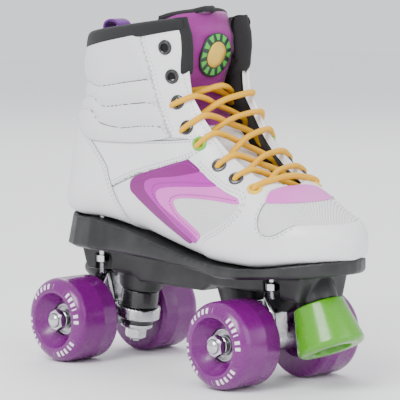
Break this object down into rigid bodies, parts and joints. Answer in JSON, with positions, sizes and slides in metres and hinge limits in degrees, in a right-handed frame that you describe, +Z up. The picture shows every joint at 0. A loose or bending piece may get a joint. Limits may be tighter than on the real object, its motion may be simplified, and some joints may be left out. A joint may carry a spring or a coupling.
{
  "type": "quad roller skate",
  "caption": "High laced roller skate boot on a wedge-shaped chassis with paired steering trucks, wide wheels and an angled toe stop.",
  "frame": {"origin": "on the ground, under the middle of the skate's overall length and width", "axes": "+X to the toe, +Y to the inner side of a right foot, +Z up"},
  "size_m": [0.2598, 0.1176, 0.2417],
  "materials": {
    "chassis_plastic": "fine-grained black nylon",
    "truck_alloy": "polished die casting",
    "plated_steel": "bright plating",
    "bearing_steel": "ground races and pressed shields",
    "black_rubber": "glossy black urethane",
    "wheel_urethane": "cast urethane, semi-gloss purple",
    "stop_rubber": "glossy green rubber",
    "boot_leather": "smooth white synthetic leather",
    "lining_fabric": "black padded knit",
    "tongue_fabric": "magenta satin weave over foam",
    "insole_fabric": "brushed black fabric over foam",
    "tab_webbing": "purple woven webbing",
    "lace_cord": "round golden yellow braid"
  },
  "bodies": {
    "frame": {"chassis": "chassis_plastic", "kingpin_rear": "plated_steel", "kingpin_front": "plated_steel", "kingpin_nut_rear": "plated_steel", "kingpin_nut_front": "plated_steel", "retainer_rear": "plated_steel", "retainer_front": "plated_steel", "cushion_upper_rear": "black_rubber", "cushion_upper_front": "black_rubber", "cushion_lower_rear": "black_rubber", "cushion_lower_front": "black_rubber", "pivot_cup_rear": "black_rubber", "pivot_cup_front": "black_rubber", "sole_bolt_rear_outer": "plated_steel", "sole_bolt_rear_inner": "plated_steel", "sole_bolt_front_outer": "plated_steel", "sole_bolt_front_inner": "plated_steel", "sole_nut_rear_outer": "plated_steel", "sole_nut_rear_inner": "plated_steel", "sole_nut_front_outer": "plated_steel", "sole_nut_front_inner": "plated_steel", "toe_stop": "stop_rubber", "toe_stop_bolt": "plated_steel", "lasting_board": "boot_leather", "vamp": "boot_leather", "quarter_outer": "boot_leather", "quarter_inner": "boot_leather", "collar_lining": "lining_fabric", "tongue": "tongue_fabric", "insole": "insole_fabric", "heel_tab": "tab_webbing", "shoelace": "lace_cord"},
    "rear_truck": {"hanger_rear": "truck_alloy", "axle_rear": "plated_steel", "axle_washer_inner_rear_outer": "plated_steel", "axle_washer_inner_rear_inner": "plated_steel", "axle_washer_outer_rear_outer": "plated_steel", "axle_washer_outer_rear_inner": "plated_steel", "axle_nut_rear_outer": "plated_steel", "axle_nut_rear_inner": "plated_steel"},
    "front_truck": {"hanger_front": "truck_alloy", "axle_front": "plated_steel", "axle_washer_inner_front_outer": "plated_steel", "axle_washer_inner_front_inner": "plated_steel", "axle_washer_outer_front_outer": "plated_steel", "axle_washer_outer_front_inner": "plated_steel", "axle_nut_front_outer": "plated_steel", "axle_nut_front_inner": "plated_steel"},
    "rear_outer_wheel": {"wheel_rear_outer": "wheel_urethane", "bearing_inner_rear_outer": "bearing_steel", "bearing_outer_rear_outer": "bearing_steel"},
    "rear_inner_wheel": {"wheel_rear_inner": "wheel_urethane", "bearing_inner_rear_inner": "bearing_steel", "bearing_outer_rear_inner": "bearing_steel"},
    "front_outer_wheel": {"wheel_front_outer": "wheel_urethane", "bearing_inner_front_outer": "bearing_steel", "bearing_outer_front_outer": "bearing_steel"},
    "front_inner_wheel": {"wheel_front_inner": "wheel_urethane", "bearing_inner_front_inner": "bearing_steel", "bearing_outer_front_inner": "bearing_steel"}
  },
  "joints": [
    {"name": "rear_truck_steer", "type": "hinge", "parent": "frame", "child": "rear_truck", "pos_m": [-0.07589, 0, 0.033], "axis": [-0.8027, 0, 0.5963], "range_deg": [-8, 8], "stiffness_Nm_per_rad": 12, "deforming": ["cushion_upper_rear", "cushion_lower_rear"]},
    {"name": "front_truck_steer", "type": "hinge", "parent": "frame", "child": "front_truck", "pos_m": [0.03211, 0, 0.033], "axis": [0.8027, 0, 0.5963], "range_deg": [-8, 8], "stiffness_Nm_per_rad": 12, "deforming": ["cushion_upper_front", "cushion_lower_front"]},
    {"name": "rear_outer_wheel_spin", "type": "hinge", "parent": "rear_truck", "child": "rear_outer_wheel", "pos_m": [-0.10089, -0.0408, 0.029], "axis": [0, 1, 0], "continuous": true},
    {"name": "rear_inner_wheel_spin", "type": "hinge", "parent": "rear_truck", "child": "rear_inner_wheel", "pos_m": [-0.10089, 0.0408, 0.029], "axis": [0, 1, 0], "continuous": true},
    {"name": "front_outer_wheel_spin", "type": "hinge", "parent": "front_truck", "child": "front_outer_wheel", "pos_m": [0.05711, -0.0408, 0.029], "axis": [0, 1, 0], "continuous": true},
    {"name": "front_inner_wheel_spin", "type": "hinge", "parent": "front_truck", "child": "front_inner_wheel", "pos_m": [0.05711, 0.0408, 0.029], "axis": [0, 1, 0], "continuous": true}
  ]
}
